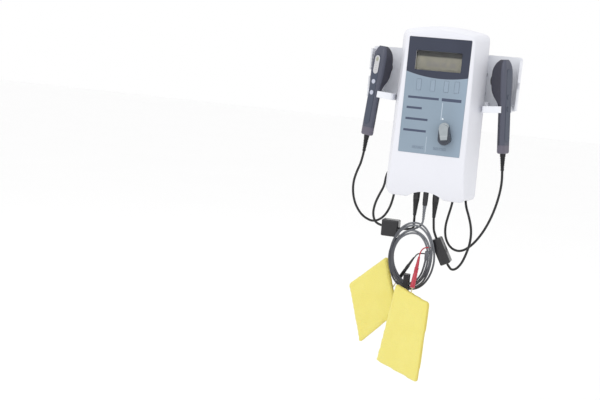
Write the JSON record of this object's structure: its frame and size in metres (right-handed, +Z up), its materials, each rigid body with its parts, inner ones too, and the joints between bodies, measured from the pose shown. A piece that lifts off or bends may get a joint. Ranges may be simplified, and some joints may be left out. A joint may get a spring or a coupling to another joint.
{
  "type": "ultrasound therapy device",
  "caption": "Wall-hung ultrasound therapy unit: console with display, soft keys and dial, corded treatment handsets in side holders, and a coiled electrode lead with sponge pads.",
  "frame": {"origin": "centre of the wall bracket's screw pattern, on the bracket's back face", "axes": "+Z up, -Y the console's front, +Y into the wall, +X to the right seen from the front"},
  "size_m": [0.3176, 0.1494, 0.7156],
  "materials": {
    "housing_white": "fine satin texture",
    "panel_film": "printed matt film",
    "display_glass": "clear window",
    "lcd_grey": "unlit reflective display",
    "circuit_board": "solder-masked board",
    "knob_grey": "satin",
    "key_grey": "soft satin",
    "black_plastic": "satin",
    "holder_white": "satin",
    "handset_grey": "fine satin texture",
    "inlay_slate": "matt",
    "button_pale": "satin",
    "transducer_metal": "polished face",
    "seal_black": "matt",
    "piezo_ceramic": "silvered ceramic disc",
    "end_cap_grey": "satin",
    "cord_black": "semi-matt PVC",
    "ferrite_black": "satin moulded shell",
    "lead_grey": "semi-matt PVC",
    "plug_red": "gloss",
    "sponge_yellow": "open-cell sponge",
    "electrode_black": "carbon rubber",
    "bracket_steel": "zinc-plated sheet",
    "screw_steel": "zinc-plated"
  },
  "bodies": {
    "console": {"wall_bracket": "bracket_steel", "rear_housing": "housing_white", "front_housing": "housing_white", "housing_screws": "screw_steel", "control_panel": "panel_film", "display_window": "display_glass", "lcd_module": "lcd_grey", "main_board": "circuit_board", "power_supply": "circuit_board", "output_sockets": "black_plastic", "mains_inlet": "black_plastic", "holder_left": "holder_white", "holder_right": "holder_white", "handset_left_plug": "black_plastic", "handset_left_plug_boot": "black_plastic", "handset_left_cord": "cord_black", "ferrite_left": "ferrite_black", "left_sponge_pad": "sponge_yellow", "handset_right_plug": "black_plastic", "handset_right_plug_boot": "black_plastic", "handset_right_cord": "cord_black", "ferrite_right": "ferrite_black", "right_sponge_pad": "sponge_yellow", "lead_plug": "black_plastic", "lead_plug_boot": "lead_grey", "lead_coil": "lead_grey", "coil_tie": "cord_black", "red_lead": "plug_red", "black_lead": "cord_black", "red_plug": "plug_red", "black_plug": "black_plastic", "rubber_electrodes": "electrode_black"},
    "handset_left": {"handset_left_back_shell": "handset_grey", "handset_left_head_shell": "handset_grey", "handset_left_inlay": "inlay_slate", "handset_left_board": "circuit_board", "handset_left_transducer_face": "transducer_metal", "handset_left_rim_seal": "seal_black", "handset_left_piezo_disc": "piezo_ceramic", "handset_left_end_cap": "end_cap_grey", "handset_left_strain_relief": "seal_black"},
    "handset_left_button_upper": {"handset_left_button_upper": "button_pale"},
    "handset_left_button_lower": {"handset_left_button_lower": "button_pale"},
    "handset_right": {"handset_right_back_shell": "handset_grey", "handset_right_head_shell": "handset_grey", "handset_right_inlay": "inlay_slate", "handset_right_board": "circuit_board", "handset_right_transducer_face": "transducer_metal", "handset_right_rim_seal": "seal_black", "handset_right_piezo_disc": "piezo_ceramic", "handset_right_end_cap": "end_cap_grey", "handset_right_strain_relief": "seal_black"},
    "handset_right_button_upper": {"handset_right_button_upper": "button_pale"},
    "handset_right_button_lower": {"handset_right_button_lower": "button_pale"},
    "soft_key_1": {"soft_key_1": "key_grey"},
    "soft_key_2": {"soft_key_2": "key_grey"},
    "soft_key_3": {"soft_key_3": "key_grey"},
    "soft_key_4": {"soft_key_4": "key_grey"},
    "control_knob": {"control_knob": "knob_grey"},
    "power_switch": {"power_switch": "black_plastic"}
  },
  "joints": [
    {"name": "handset_left_lift", "type": "slide", "parent": "console", "child": "handset_left", "axis": [0.0837, 0, 0.9965], "range_m": [0, 0.06]},
    {"name": "handset_left_upper_press", "type": "slide", "parent": "handset_left", "child": "handset_left_button_upper", "axis": [0.4982, 0.866, -0.0418], "range_m": [0, 0.0008], "stiffness_N_per_m": 600, "springref_m": -0.001},
    {"name": "handset_left_lower_press", "type": "slide", "parent": "handset_left", "child": "handset_left_button_lower", "axis": [0.4982, 0.866, -0.0418], "range_m": [0, 0.0008], "stiffness_N_per_m": 600, "springref_m": -0.001},
    {"name": "handset_right_lift", "type": "slide", "parent": "console", "child": "handset_right", "axis": [-0.0837, 0, 0.9965], "range_m": [0, 0.06]},
    {"name": "handset_right_upper_press", "type": "slide", "parent": "handset_right", "child": "handset_right_button_upper", "axis": [-0.8799, 0.4695, -0.0739], "range_m": [0, 0.0008], "stiffness_N_per_m": 600, "springref_m": -0.001},
    {"name": "handset_right_lower_press", "type": "slide", "parent": "handset_right", "child": "handset_right_button_lower", "axis": [-0.8799, 0.4695, -0.0739], "range_m": [0, 0.0008], "stiffness_N_per_m": 600, "springref_m": -0.001},
    {"name": "soft_key_1_press", "type": "slide", "parent": "console", "child": "soft_key_1", "axis": [0, 1, 0], "range_m": [0, 0.0008], "stiffness_N_per_m": 600, "springref_m": -0.001},
    {"name": "soft_key_2_press", "type": "slide", "parent": "console", "child": "soft_key_2", "axis": [0, 1, 0], "range_m": [0, 0.0008], "stiffness_N_per_m": 600, "springref_m": -0.001},
    {"name": "soft_key_3_press", "type": "slide", "parent": "console", "child": "soft_key_3", "axis": [0, 1, 0], "range_m": [0, 0.0008], "stiffness_N_per_m": 600, "springref_m": -0.001},
    {"name": "soft_key_4_press", "type": "slide", "parent": "console", "child": "soft_key_4", "axis": [0, 1, 0], "range_m": [0, 0.0008], "stiffness_N_per_m": 600, "springref_m": -0.001},
    {"name": "knob_turn", "type": "hinge", "parent": "console", "child": "control_knob", "pos_m": [0.0305, -0.1, -0.09], "axis": [0, 1, 0], "range_deg": [-141, 159]},
    {"name": "power_switch_rock", "type": "hinge", "parent": "console", "child": "power_switch", "pos_m": [-0.007, -0.019, -0.156], "axis": [0, 1, 0], "range_deg": [0, 16]}
  ]
}
